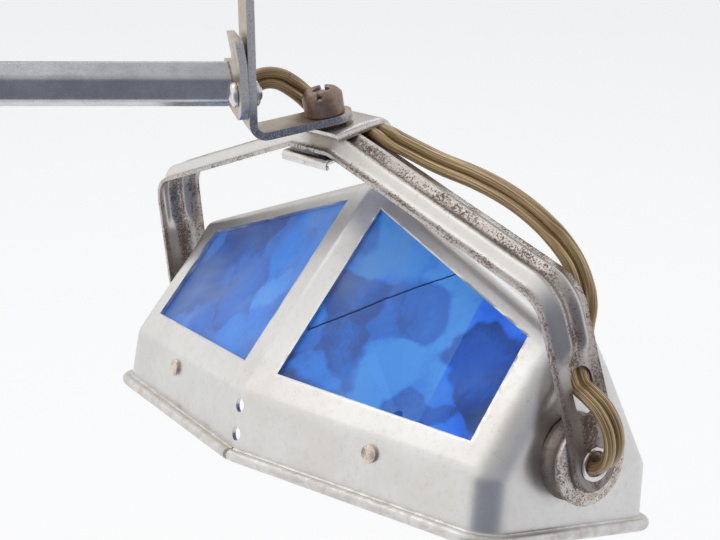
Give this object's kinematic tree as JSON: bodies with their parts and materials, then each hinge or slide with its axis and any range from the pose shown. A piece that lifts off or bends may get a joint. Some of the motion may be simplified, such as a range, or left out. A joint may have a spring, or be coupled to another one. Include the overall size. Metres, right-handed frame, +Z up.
{
  "type": "articulated lamp head",
  "caption": "Gable-roofed metal lamp shade with blue glass panes, tilting in a ribbed yoke that swivels on a bracket at the end of a hexagonal arm.",
  "frame": {"origin": "middle of the arm's round spigot, on its axis", "axes": "+X along the arm to the head, +Z up, +Y away from the shade's window side; -X is the way the spigot points"},
  "size_m": [0.1756, 0.1479, 0.1616],
  "materials": {
    "brushed_tube": "brushed grey steel",
    "turned_steel": "plain turned or pressed steel",
    "black_insulator": "moulded insulation",
    "brass": "plain brass",
    "worn_chrome": "old nickel plating with a tan film and dark specks",
    "bright_chrome": "bright plating",
    "brown_steel": "browned steel",
    "rusted_plating": "worn plating with brown rust speckle",
    "shade_metal": "old sheet metal, warm grey with fine dark specks",
    "hem_metal": "stained rolled edge",
    "rivet_metal": "beige rivet heads with turned rings",
    "cup_metal": "grey-brown pressed steel",
    "porcelain": "unglazed porcelain",
    "filament": "drawn tungsten wire",
    "flex": "gold-brown translucent plastic",
    "blue_glass": "clouded blue glass",
    "lamp_glass": "clear glass tube"
  },
  "bodies": {
    "arm": {"arm_tube": "brushed_tube", "arm_spigot": "turned_steel", "arm_socket_insert": "black_insulator", "arm_socket_pins": "brass", "knuckle_plate": "worn_chrome", "knuckle_screw": "bright_chrome", "knuckle_nut": "bright_chrome", "flex_in_arm": "flex"},
    "bracket": {"swivel_bracket": "worn_chrome", "clamp_bolt": "brown_steel", "slotted_nut": "brown_steel", "friction_washer": "black_insulator", "flex_bridge": "flex"},
    "yoke": {"yoke": "rusted_plating", "upper_clamp_plate": "worn_chrome", "lower_clamp_plate": "worn_chrome", "leg_disc_left": "rusted_plating", "leg_disc_right": "rusted_plating", "pivot_rivet_left": "bright_chrome", "pivot_eyelet_right": "bright_chrome", "inner_washer_left": "turned_steel", "inner_washer_right": "turned_steel", "flex_on_yoke": "flex"},
    "shade": {"shade_shell": "shade_metal", "rim_hem": "hem_metal", "shade_rivets": "rivet_metal", "pivot_cup_left": "cup_metal", "pivot_cup_right": "cup_metal", "cup_washer_left": "turned_steel", "cup_washer_right": "turned_steel", "pane_front_left": "blue_glass", "pane_front_right": "blue_glass", "pane_back_left": "blue_glass", "pane_back_right": "blue_glass", "pane_clips": "turned_steel", "lamp_bracket_left": "turned_steel", "lamp_bracket_right": "turned_steel", "lamp_holder_left": "porcelain", "lamp_holder_right": "porcelain", "lamp_contact_left": "brass", "lamp_contact_right": "brass", "contact_screws": "brass", "lamp_glass": "lamp_glass", "lamp_cap_left": "turned_steel", "lamp_cap_right": "turned_steel", "lamp_filament": "filament", "lead_right": "flex", "lead_left": "flex"}
  },
  "joints": [
    {"name": "knuckle", "type": "hinge", "parent": "arm", "child": "bracket", "pos_m": [0.077, -0.0084, 0], "axis": [0.9681, 0.2504, 0], "range_deg": [-35, 35]},
    {"name": "yoke_swivel", "type": "hinge", "parent": "bracket", "child": "yoke", "pos_m": [0.09479, -0.00409, -0.00609], "axis": [-0.156, 0.006, 0.9877], "range_deg": [-75, 35]},
    {"name": "shade_tilt", "type": "hinge", "parent": "yoke", "child": "shade", "pos_m": [0.10557, -0.0045, -0.07435], "axis": [0.6036, -0.791, 0.1001], "range_deg": [-70, 105]}
  ]
}
